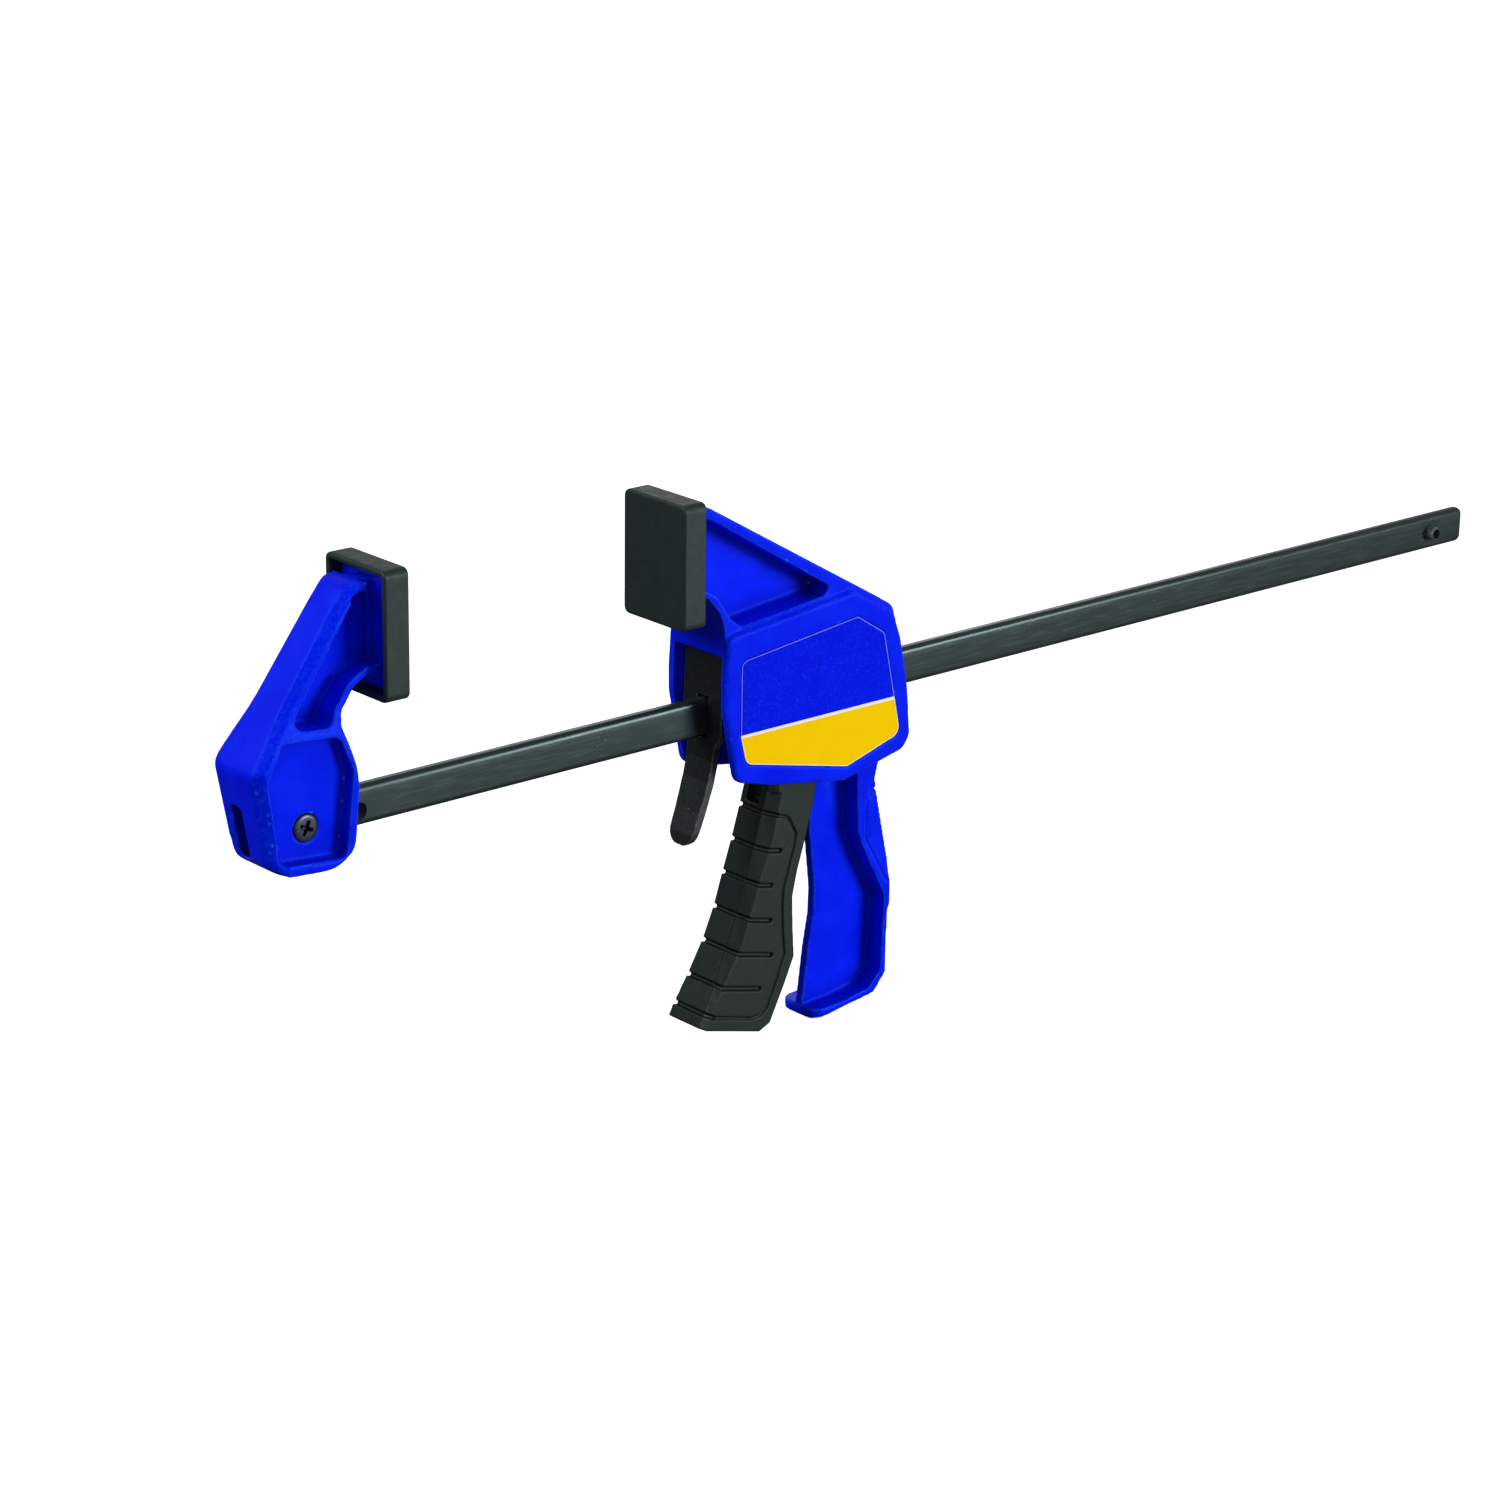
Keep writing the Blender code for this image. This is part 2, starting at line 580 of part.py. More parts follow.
def make_spring(name, x0, x1, wire, turns, surface):
    """A compression coil round the bar, from one wire run as a tube along a helix."""
    curve = bpy.data.curves.new(name, "CURVE")
    curve.dimensions = "3D"
    curve.bevel_depth = wire / 2 * MM
    curve.bevel_resolution = 1
    curve.use_fill_caps = True
    steps = int(turns * 12)
    spline = curve.splines.new("POLY")
    spline.points.add(steps)
    span = x1 - x0 - wire
    for k, point in enumerate(spline.points):
        share = k / steps
        angle = 2 * math.pi * turns * share
        x = x0 + wire / 2 + span * share
        y, z = SPRING_RADIUS * math.cos(angle), SPRING_RADIUS * math.sin(angle)
        point.co = (x * MM, y * MM, z * MM, 1.0)
    obj = bpy.data.objects.new(name, curve)
    PARTS.objects.link(obj)
    graph = bpy.context.evaluated_depsgraph_get()
    mesh = bpy.data.meshes.new_from_object(obj.evaluated_get(graph))
    bpy.data.objects.remove(obj)
    bm = bmesh.new()
    bm.from_mesh(mesh)
    bmesh.ops.remove_doubles(bm, verts=bm.verts, dist=0.000002)
    bmesh.ops.recalc_face_normals(bm, faces=bm.faces)
    bm.to_mesh(mesh)
    bm.free()
    coil = bpy.data.objects.new(name, mesh)
    PARTS.objects.link(coil)
    return finish(coil, surface)


def make_label(name, side, surface):
    inner = side * (PANEL_HALF - LABEL_DEPTH + 0.15)
    outer = inner + side * LABEL_THICK
    outline = []
    for x, z, radius in LABEL_OUTLINE:
        outline.append((143.0 + (x - 143.0) * 0.988, 0.5 + (z - 0.5) * 0.98, radius))
    return finish(prism(name, outline, *sorted((inner, outer))), surface)


def main():
    blue = material("blue_plastic", (0.0, 0.02, 0.75), 0.0, 0.5)
    black_steel = material("black_steel", (0.04, 0.05, 0.05), 0.9, 0.4)
    steel = material("steel", (0.45, 0.45, 0.46), 1.0, 0.35)
    pad_rubber = material("pad_plastic", (0.045, 0.055, 0.053), 0.0, 0.6)
    black_plastic = material("black_plastic", (0.012, 0.015, 0.015), 0.0, 0.5)
    label = material("label_film", (0.85, 0.55, 0.0), 0.0, 0.4)
    make_bar(black_steel)
    make_stop_pin(black_steel)
    make_fixed_jaw(blue)
    make_pad("fixed_jaw_pad", 0.0, -1, pad_rubber)
    make_screw(black_steel)
    make_nut(black_steel)
    make_moving_jaw(blue)
    make_pad("moving_jaw_pad", OPENING, 1, pad_rubber)
    make_trigger(black_plastic)
    finish(cylinder("trigger_pin", PIVOT, PIVOT_RADIUS, -12.1, 12.1), steel)
    make_release_lever(black_steel)
    make_drive_lever("drive_lever_front", DRIVE_X, steel)
    make_drive_lever("drive_lever_rear", DRIVE_X + DRIVE_THICK + GAP, steel)
    make_spring("release_spring", 113.0, 117.3, 0.9, 2.25, steel)
    make_spring("drive_spring", DRIVE_X + 2 * DRIVE_THICK + 2 * GAP, 171.3, 1.1, 6.25, steel)
    make_label("label_right", -1, label)
    make_label("label_left", 1, label)
    for piece in PARTS.objects:
        piece.location.z -= PAD_Z * MM


clear_scene()
PARTS = new_collection("trigger_bar_clamp", False)
main()
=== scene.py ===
"""Looks of the one-handed trigger bar clamp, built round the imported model.

Shapes are worked on in millimetres from a point on the bar's centre line: X along the bar
from the fixed jaw's working face, Y across, Z up. seat() puts them back in the model.
"""

import math

import bmesh
import bpy
import numpy as np
from mathutils import Matrix, Vector


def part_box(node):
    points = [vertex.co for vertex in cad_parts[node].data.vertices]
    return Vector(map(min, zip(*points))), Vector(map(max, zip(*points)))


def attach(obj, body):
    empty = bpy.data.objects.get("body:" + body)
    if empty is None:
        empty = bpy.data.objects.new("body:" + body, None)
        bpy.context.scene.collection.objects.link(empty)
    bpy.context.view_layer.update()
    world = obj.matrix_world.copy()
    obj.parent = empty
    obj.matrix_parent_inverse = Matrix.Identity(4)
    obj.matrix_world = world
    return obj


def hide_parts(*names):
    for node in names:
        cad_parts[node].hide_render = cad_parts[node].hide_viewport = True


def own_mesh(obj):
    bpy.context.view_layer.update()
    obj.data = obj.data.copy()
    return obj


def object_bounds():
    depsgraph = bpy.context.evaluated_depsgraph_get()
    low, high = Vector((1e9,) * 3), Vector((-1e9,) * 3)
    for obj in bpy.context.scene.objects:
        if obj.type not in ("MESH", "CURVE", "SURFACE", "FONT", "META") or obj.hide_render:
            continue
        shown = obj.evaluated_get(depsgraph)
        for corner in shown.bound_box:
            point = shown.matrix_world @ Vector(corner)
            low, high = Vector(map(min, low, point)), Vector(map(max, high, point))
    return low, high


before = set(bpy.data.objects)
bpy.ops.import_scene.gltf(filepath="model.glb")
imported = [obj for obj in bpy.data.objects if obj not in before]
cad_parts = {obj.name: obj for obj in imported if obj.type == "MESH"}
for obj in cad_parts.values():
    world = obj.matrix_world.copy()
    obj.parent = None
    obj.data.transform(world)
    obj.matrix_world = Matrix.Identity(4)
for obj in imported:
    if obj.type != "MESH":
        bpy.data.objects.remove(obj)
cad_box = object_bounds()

MM = 0.001
NEARLY_STRAIGHT = math.radians(176)
CORNER_SEGMENTS = 6
ROUND_SEGMENTS = 48
WELD = 0.002
SHARP_TURN = 30
BAR_LOW, BAR_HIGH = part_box("bar")
BAR_Z = (BAR_LOW.z + BAR_HIGH.z) / 2
BAR_THICK = (BAR_HIGH.y - BAR_LOW.y) / MM
BAR_HEIGHT = (BAR_HIGH.z - BAR_LOW.z) / MM
BAR_X = (BAR_LOW.x / MM, BAR_HIGH.x / MM)
BAR_EDGE_RADIUS = 1.7
BAR_END_RADIUS = 2.2
SPARE_HOLE = (-9.3, -1.4)
SPARE_HOLE_RADIUS = 2.6
SCREW_X = -29.6
SCREW_HOLE_RADIUS = 2.4
STOP_PIN_X = 414.0
STOP_PIN_HOLE_RADIUS = 2.45

# The fixed jaw's foot with rounder corners; elsewhere this outline stays clear of the jaw
ROUND_FOOT = [
    (-15.0, 9.5, 0), (20.0, 9.5, 0), (20.0, 100.0, 0), (-60.0, 100.0, 0), (-60.0, 17.6, 0),
    (-47.2, 17.6, 0), (-42.0, -10.7, 6.5), (-22.8, -12.1, 10.5), (-16.6, -8.2, 7.2),
]
SCREW_SEAT_RADIUS = 3.95
SCREW_SEAT_Y = (-6.98, -4.6)

# The trigger's head, hidden in the housing, is a piece of its own from this height up
TRIGGER_SEAM = -18.5
TRIGGER_PLAN = [(90, -20, 0), (190, -20, 0), (190, 20, 0), (90, 20, 0)]

# Grooves across the trigger's grip, as routes in the XZ plane that begin in front of it,
# and the line round the grip panel on each side
GROOVE_WIDTH = 1.15
GROOVE_DEPTH = 0.95
GRIP_GROOVES = [
    [(124.0, -29.9), (128.1, -31.3), (132.2, -32.7)],
    [(121.0, -39.4), (125.1, -41.0), (128.9, -42.5), (133.3, -43.5)],
    [(118.4, -49.0), (122.4, -50.6), (126.0, -52.3), (130.2, -53.3)],
    [(115.1, -58.6), (119.1, -60.2), (122.9, -62.2), (129.9, -63.9)],
    [(111.0, -67.8), (115.0, -69.5), (118.4, -71.5), (130.4, -74.5)],
    [(105.7, -77.0), (109.7, -78.7), (112.5, -80.5), (126.2, -83.9)],
    [(100.9, -84.6), (104.9, -86.3), (109.2, -88.6)],
]
PANEL_LINE = [
    (131.5, -32.5), (135.0, -33.5), (136.3, -34.4), (139.1, -39.6), (138.8, -42.0),
    (134.6, -55.4), (134.3, -60.0), (134.5, -67.0), (135.3, -75.3), (132.4, -82.8),
    (128.8, -90.5), (126.5, -92.2), (123.5, -92.4), (109.2, -88.6),
]
PANEL_WIDTH = 0.75
PANEL_DEPTH = 0.55
GROOVE_BLUR = 0.45

# Palm pad line on the handle's flange, on both sides
PALM_LINE = [
    (172.5, -28.5), (169.2, -31.8), (165.9, -34.6), (165.5, -38.0), (165.5, -47.0),
    (170.0, -54.6), (174.3, -61.9),
]
PALM_DEPTH = 0.45

# The lip inside a pad's back: the inset and corner radius of its outer and inner outlines,
# and how far from the back it begins and ends
PAD_LIP_RINGS = ((0.4, 1.6), (1.75, 0.6))
PAD_LIP_DEPTH = (0.1, 1.5)

LABEL_LINE_Z = -3.8
LABEL_LINE = 0.9
LABEL_EDGE = 0.22

# Most triangles that a dense piece keeps
DENSE_PIECE = {"fixed_jaw": 190000, "moving_jaw": 198000, "trigger": 196000}

# Darker and lighter tone of each black steel
BAR_TONES = ((0.034, 0.052, 0.051), (0.049, 0.073, 0.071))
LEVER_TONES = ((0.022, 0.028, 0.029), (0.034, 0.041, 0.042))
SCREW_TONES = ((0.040, 0.048, 0.072), (0.062, 0.072, 0.102))

# The room is this bright opposite BRIGHT_SIDE and towards it
BRIGHT_SIDE = (0.5, -0.3, 0.8)
ROOM_LIGHT = (0.02, 0.30)

# The view: degrees round, up and of roll; where from, in metres; and the lens
VIEW_ANGLES = (-40.89, 18.71, 0.71)
VIEW_FROM = (-0.6335, -0.8790, 0.3317)
LENS_MM = 104.31
SENSOR_MM = 36.0

# Softboxes: which way each lies, its size in metres and the brightness it gives
LIGHT_DISTANCE = 2.0
LIGHTS = {
    "front": ((0.48, -1.0, 0.10), 0.8, 0.94),
    "rear_left": ((-0.75, 0.30, 0.55), 1.2, 0.64),
    "rim": ((0.62, 0.72, 0.34), 0.8, 0.09),
    "fill": ((-0.60, -0.9, 0.45), 1.2, 0.09),
}

FLOOR_HALF = 12.0
FLOOR_GAP = 0.0015
FLOOR_GLOW = 0.94


def adopt(obj):
    """Puts a new object in the scene."""
    bpy.context.scene.collection.objects.link(obj)
    return obj


def mesh_object(name, bm):
    """An object from a working mesh, with its faces turned outwards."""
    bmesh.ops.recalc_face_normals(bm, faces=bm.faces)
    mesh = bpy.data.meshes.new(name)
    bm.to_mesh(mesh)
    bm.free()
    return adopt(bpy.data.objects.new(name, mesh))


def rounded(corners):
    """Points of a closed outline whose corners (x, z, radius) are filleted."""
    points = []
    count = len(corners)
    for i, (x, z, radius) in enumerate(corners):
        here = Vector((x, z))
        back = Vector(corners[i - 1][:2]) - here
        ahead = Vector(corners[(i + 1) % count][:2]) - here
        angle = back.angle(ahead)
        if radius <= 0 or angle > NEARLY_STRAIGHT:
            points.append(here)
            continue
        reach = min(radius / math.tan(angle / 2), 0.48 * back.length, 0.48 * ahead.length)
        radius = reach * math.tan(angle / 2)
        middle = (back.normalized() + ahead.normalized()).normalized()
        centre = here + middle * (radius / math.sin(angle / 2))
        first = here + back.normalized() * reach - centre
        last = here + ahead.normalized() * reach - centre
        sweep = first.angle_signed(last)
        for k in range(CORNER_SEGMENTS + 1):
            turn = -sweep * k / CORNER_SEGMENTS
            points.append(centre + Matrix.Rotation(turn, 2) @ first)
    return points


def prism(name, outline, y0, y1):
    """The outline in XZ extruded from y0 to y1."""
    bm = bmesh.new()
    points = rounded(outline)
    low = [bm.verts.new((x, y0, z)) for x, z in points]
    high = [bm.verts.new((x, y1, z)) for x, z in points]
    bm.faces.new(low)
    bm.faces.new(high)
    for i in range(len(points)):
        j = (i + 1) % len(points)
        bm.faces.new((low[i], low[j], high[j], high[i]))
    return mesh_object(name, bm)


def turned_prism(name, outline, x0, x1):
    """An outline in YZ extruded from x0 to x1."""
    obj = prism(name, outline, -x1, -x0)
    obj.data.transform(Matrix.Rotation(math.radians(90), 4, "Z"))
    return obj


def plan_prism(name, outline, z0, z1):
    """An outline in XY extruded from z0 to z1."""
    obj = prism(name, outline, z0, z1)
    obj.data.transform(Matrix.Rotation(math.radians(90), 4, "X"))
    return obj


def circle(centre, radius, segments=ROUND_SEGMENTS):
    """A round outline in XZ."""
    step = 2 * math.pi / segments
    x, z = centre
    return [(x + radius * math.cos(step * k), z + radius * math.sin(step * k), 0)
            for k in range(segments)]


def turned(name, centre, profile, segments=ROUND_SEGMENTS):
    """A solid of revolution about the Y line through centre (x, z); profile is (radius, y)."""
    bm = bmesh.new()
    rings = []
    for radius, y in profile:
        ring = [bm.verts.new((x, y, z)) for x, z, _ in circle(centre, radius, segments)]
        rings.append(ring)
    for ring, following in zip(rings, rings[1:]):
        for i in range(segments):
            j = (i + 1) % segments
            bm.faces.new((ring[i], ring[j], following[j], following[i]))
    bm.faces.new(rings[0])
    bm.faces.new(rings[-1])
    return mesh_object(name, bm)


def bake_modifiers(obj):
    """Puts the modified mesh in place of the object's own."""
    graph = bpy.context.evaluated_depsgraph_get()
    made = bpy.data.meshes.new_from_object(obj.evaluated_get(graph))
    obj.modifiers.clear()
    obj.data = made
    return obj


def boolean(target, operation, *tools):
    """Applies each tool to the target in turn and deletes it."""
    for tool in tools:
        modifier = target.modifiers.new("boolean", "BOOLEAN")
        modifier.operation = operation
        modifier.solver = "EXACT"
        modifier.object = tool
        bake_modifiers(target)
        bpy.data.objects.remove(tool)
    return target


def copy_of(node, name):
    """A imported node's mesh as a new object, in this script's millimetres."""
    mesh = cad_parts[node].data.copy()
    mesh.materials.clear()
    mesh.transform(Matrix.Scale(1 / MM, 4) @ Matrix.Translation((0, 0, -BAR_Z)))
    bm = bmesh.new()
    bm.from_mesh(mesh)
    bmesh.ops.remove_doubles(bm, verts=bm.verts, dist=WELD)
    return mesh_object(name, bm)


def mould(obj, voxel, passes):
    """Fillets every edge as a mould does: a fine voxel skin, then smoothing passes."""
    remesh = obj.modifiers.new("remesh", "REMESH")
    remesh.mode = "VOXEL"
    remesh.voxel_size = voxel
    smooth = obj.modifiers.new("smooth", "SMOOTH")
    smooth.factor = 0.5
    smooth.iterations = passes
    return bake_modifiers(obj)


def soften(obj, chosen, passes):
    """Rounds the chosen points further."""
    group = obj.vertex_groups.new(name="soft")
    group.add([int(i) for i in np.flatnonzero(chosen)], 1.0, "REPLACE")
    smooth = obj.modifiers.new("smooth", "SMOOTH")
    smooth.factor = 0.5
    smooth.iterations = passes
    smooth.vertex_group = "soft"
    bake_modifiers(obj)
    obj.vertex_groups.clear()


def thin(obj, most):
    """Brings a piece down to about this many triangles."""
    obj.data.calc_loop_triangles()
    count = len(obj.data.loop_triangles)
    if count > most:
        decimate = obj.modifiers.new("decimate", "DECIMATE")
        decimate.ratio = most / count
        bake_modifiers(obj)
    return obj


def points_and_normals(obj):
    """The mesh's points and their normals, as two tables with a row for each point."""
    count = len(obj.data.vertices)
    points = np.empty(count * 3, np.float32)
    normals = np.empty(count * 3, np.float32)
    obj.data.vertices.foreach_get("co", points)
    obj.data.vertex_normals.foreach_get("vector", normals)
    return points.reshape(-1, 3).astype(float), normals.reshape(-1, 3).astype(float)


def set_points(obj, points):
    """Moves the mesh's points."""
    obj.data.vertices.foreach_set("co", points.astype(np.float32).ravel())
    obj.data.update()


def distance_to_route(points, route):
    """How far each point lies, in the XZ plane, from a line of straight stretches."""
    flat = points[:, [0, 2]]
    best = np.full(len(points), 1e9)
    for start, end in zip(route, route[1:]):
        a, ab = np.array(start), np.array(end) - np.array(start)
        share = np.clip((flat - a) @ ab / (ab @ ab), 0.0, 1.0)
        best = np.minimum(best, np.linalg.norm(flat - a - share[:, None] * ab, axis=1))
    return best


def step_down(value, edge, blur):
    """1 well below the edge, 0 well above it."""
    share = np.clip((edge + blur / 2 - value) / blur, 0.0, 1.0)
    return share * share * (3 - 2 * share)


def bevelled(obj, width, segments):
    """Rounds the edges where faces turn by more than SHARP_TURN."""
    bevel = obj.modifiers.new("bevel", "BEVEL")
    bevel.width = width
    bevel.segments = segments
    bevel.limit_method = "ANGLE"
    bevel.angle_limit = math.radians(SHARP_TURN)
    return bake_modifiers(obj)


def seat(obj, body, surfaces, nodes, sharp=None):
    """Puts a finished piece in the model: size, place, shading, materials, body.

    Shading is smooth, except at edges that turn by more than sharp degrees.
    """
    obj.data.transform(Matrix.Translation((0, 0, BAR_Z)) @ Matrix.Scale(MM, 4))
    obj.data.polygons.foreach_set("use_smooth", [True] * len(obj.data.polygons))
    if sharp:
        obj.data.set_sharp_from_angle(angle=math.radians(sharp))
    picked = [p.material_index for p in obj.data.polygons]
    obj.data.materials.clear()
    for surface in surfaces:
        obj.data.materials.append(surface)
    obj.data.polygons.foreach_set("material_index", picked)
    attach(obj, body)
    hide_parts(*nodes)
    return obj


# Materials: noise sizes and specks in millimetres, colours linear


class Surface:
    """A Principled material and a short way to add the nodes that feed it."""

    def __init__(self, name, **sockets):
        self.material = bpy.data.materials.new(name)
        self.material.use_nodes = True
        self.tree = self.material.node_tree
        self.shader = self.tree.nodes["Principled BSDF"]
        for socket, value in sockets.items():
            self.shader.inputs[socket.replace("_", " ")].default_value = value
        self.place = self.add("ShaderNodeTexCoord").outputs["Object"]

    def add(self, kind, inputs=None, **settings):
        node = self.tree.nodes.new(kind)
        for setting, value in settings.items():
            setattr(node, setting, value)
        for socket, value in (inputs or {}).items():
            if isinstance(value, bpy.types.NodeSocket):
                self.tree.links.new(value, node.inputs[socket])
            else:
                node.inputs[socket].default_value = value
        return node

    def noise(self, size, detail=2.0, rough=0.5, stretch=(1, 1, 1)):
        """Noise whose lumps are about size millimetres across."""
        place = self.add("ShaderNodeMapping", {"Vector": self.place, "Scale": stretch})
        inputs = {"Vector": place.outputs[0], "Scale": 1 / (size * MM), "Detail": detail,
                  "Roughness": rough}
        return self.add("ShaderNodeTexNoise", inputs).outputs[0]

    def specks(self, spacing, size):
        """1 in small dots about spacing millimetres apart, 0 between them."""
        dots = self.add("ShaderNodeTexVoronoi", {"Vector": self.place, "Scale": 1 / (spacing * MM)})
        return self.ramp(dots.outputs["Distance"], [(size * 0.6, 1.0), (size, 0.0)])

    def ramp(self, value, stops):
        """Grey or colour stops, as (position, value)."""
        ramp = self.add("ShaderNodeValToRGB", {"Fac": value}).color_ramp
        for i, (position, colour) in enumerate(stops):
            stop = ramp.elements[i] if i < 2 else ramp.elements.new(position)
            stop.position = position
            grey = not isinstance(colour, tuple)
            stop.color = (colour, colour, colour, 1.0) if grey else (*colour, 1.0)
        return self.tree.nodes[-1].outputs[0]

    def math(self, operation, a, b):
        return self.add("ShaderNodeMath", {0: a, 1: b}, operation=operation).outputs[0]

    def mix(self, share, first, second):
        node = self.add("ShaderNodeMix", {"Factor": share}, data_type="RGBA")
        colour_sockets = [s for s in node.inputs if s.type == "RGBA"]
        for socket, value in zip(colour_sockets, (first, second)):
            if isinstance(value, bpy.types.NodeSocket):
                self.tree.links.new(value, socket)
            else:
                socket.default_value = (*value, 1.0)
        return [s for s in node.outputs if s.type == "RGBA"][0]

    def edges(self, low, high):
        """1 on sharp outside edges."""
        bend = self.add("ShaderNodeNewGeometry").outputs["Pointiness"]
        return self.ramp(bend, [(low, 0.0), (high, 1.0)])

    def recess(self, reach):
        """Painted shade: 1 out in the open, falling to 0 deep in this piece's own corners and
        pockets.
        """
        settings = {"samples": 6, "only_local": True}
        open_sky = self.add("ShaderNodeAmbientOcclusion", {"Distance": reach * MM}, **settings)
        return self.ramp(open_sky.outputs["AO"], [(0.10, 0.0), (0.35, 0.35), (0.92, 1.0)])

    def facing(self):
        """How far the surface faces along Y, to either side: 0 to 1."""
        normal = self.add("ShaderNodeNewGeometry").outputs["Normal"]
        turn = {"vector_type": "NORMAL", "convert_from": "WORLD", "convert_to": "OBJECT"}
        normal = self.add("ShaderNodeVectorTransform", {"Vector": normal}, **turn).outputs[0]
        parts = self.add("ShaderNodeSeparateXYZ", {"Vector": normal}).outputs
        return self.math("ABSOLUTE", parts["Y"], 0.0)

    def slanted(self):
        """1 on chamfers between the sides and the outline's faces, else 0.15."""
        across = self.facing()
        rest = self.math("SUBTRACT", 1.0, self.math("MULTIPLY", across, across))
        both = self.math("MULTIPLY", across, self.math("SQRT", rest, 0.0))
        return self.ramp(both, [(0.12, 0.15), (0.34, 1.0)])

    def colour(self, socket):
        self.tree.links.new(socket, self.shader.inputs["Base Color"])

    def roughness(self, socket):
        self.tree.links.new(socket, self.shader.inputs["Roughness"])

    def bump(self, height, depth):
        """Height from 0 to 1 stands for depth millimetres."""
        inputs = {"Height": height, "Distance": depth * MM, "Strength": 1.0}
        bump = self.add("ShaderNodeBump", inputs)
        self.tree.links.new(bump.outputs[0], self.shader.inputs["Normal"])


def blue_plastic():
    """Glass-filled nylon: a saturated blue, mottled, with pale fibre specks, a painted highlight on
    its chamfers and edges, and painted shade deep in its pockets.
    """
    s = Surface("blue_nylon", Specular_IOR_Level=0.22, Specular_Tint=(0.02, 0.20, 1.0, 1.0))
    deep, bright, pale_trim = (0.0, 0.006, 0.88), (0.001, 0.014, 1.0), (0.012, 0.09, 1.0)
    tone = s.mix(s.ramp(s.noise(11.0, 4.0), [(0.35, 0.0), (0.68, 1.0)]), deep, bright)
    # Painted light: a mottled paler blue on the chamfers between the sides and the outline's faces.
    chamfer_sheen = s.ramp(s.noise(0.9, 4.0, 0.75), [(0.48, 0.0), (0.76, 0.55)])
    chamfer_sheen = s.math("MULTIPLY", chamfer_sheen, s.slanted())
    tone = s.mix(chamfer_sheen, tone, pale_trim)
    patches = s.ramp(s.noise(12.0, 2.0), [(0.56, 0.0), (0.68, 1.0)])
    specks = s.math("MULTIPLY", s.specks(2.9, 0.026), patches)
    tone = s.mix(specks, tone, (0.30, 0.30, 1.0))
    # Painted shade: the blue falls to near black deep in the jaw's own pockets and corners.
    tone = s.mix(s.recess(7.0), (0.002, 0.003, 0.09), tone)
    # Painted highlight: a paler blue along sharp outside edges, broken up by noise.
    rim = s.edges(0.514, 0.570)
    pale_edges = s.math("MULTIPLY", rim, s.ramp(s.noise(3.0), [(0.35, 0.2), (0.7, 1.0)]))
    s.colour(s.mix(pale_edges, tone, (0.025, 0.13, 1.0)))
    s.roughness(s.ramp(s.noise(1.2, 3.0), [(0.3, 0.36), (0.7, 0.50)]))
    s.bump(s.noise(0.45, 2.0), 0.02)
    return s.material


def pad_rubber():
    """Dark grey-green elastomer with a faint grain and a painted highlight along its edges, broken
    up by noise.
    """
    s = Surface("pad_elastomer", Specular_IOR_Level=0.4, Specular_Tint=(0.75, 1.0, 0.95, 1.0))
    tone = s.mix(s.noise(6.0, 3.0), (0.008, 0.015, 0.014), (0.014, 0.024, 0.022))
    # Painted highlight: pale grey along sharp outside edges, broken up by noise.
    rim = s.edges(0.53, 0.60)
    pale_edges = s.math("MULTIPLY", rim, s.ramp(s.noise(1.6, 3.0), [(0.42, 0.1), (0.62, 1.0)]))
    s.colour(s.mix(pale_edges, tone, (0.10, 0.13, 0.125)))
    s.roughness(s.ramp(s.noise(2.5, 3.0), [(0.3, 0.5), (0.7, 0.62)]))
    s.bump(s.noise(0.35, 2.0), 0.02)
    return s.material


def trigger_plastic():
    """Near-black moulded nylon with a spark-eroded grain; its sides are painted paler and its front
    darker, as painted light and shade.
    """
    s = Surface("trigger_nylon", Specular_IOR_Level=0.27, Specular_Tint=(0.75, 1.0, 0.93, 1.0))
    tone = s.mix(s.noise(5.0, 3.0), (0.002, 0.0045, 0.0042), (0.005, 0.0085, 0.008))
    # Painted light and shade: faces turned to either side are paler, the front and chamfers stay
    # darker.
    sides = s.ramp(s.facing(), [(0.75, 0.0), (0.98, 1.0)])
    tone = s.mix(sides, tone, (0.013, 0.018, 0.017))
    dots = s.math("MULTIPLY", s.specks(1.1, 0.16), s.ramp(s.noise(6.0), [(0.48, 0.0), (0.6, 1.0)]))
    tone = s.mix(dots, tone, (0.05, 0.06, 0.058))
    pale_edges = s.math("MULTIPLY", s.edges(0.54, 0.66), s.noise(1.5))
    s.colour(s.mix(pale_edges, tone, (0.05, 0.06, 0.057)))
    s.roughness(s.ramp(s.noise(1.5, 3.0), [(0.3, 0.42), (0.7, 0.56)]))
    s.bump(s.noise(0.5, 3.0, 0.6), 0.05)
    return s.material


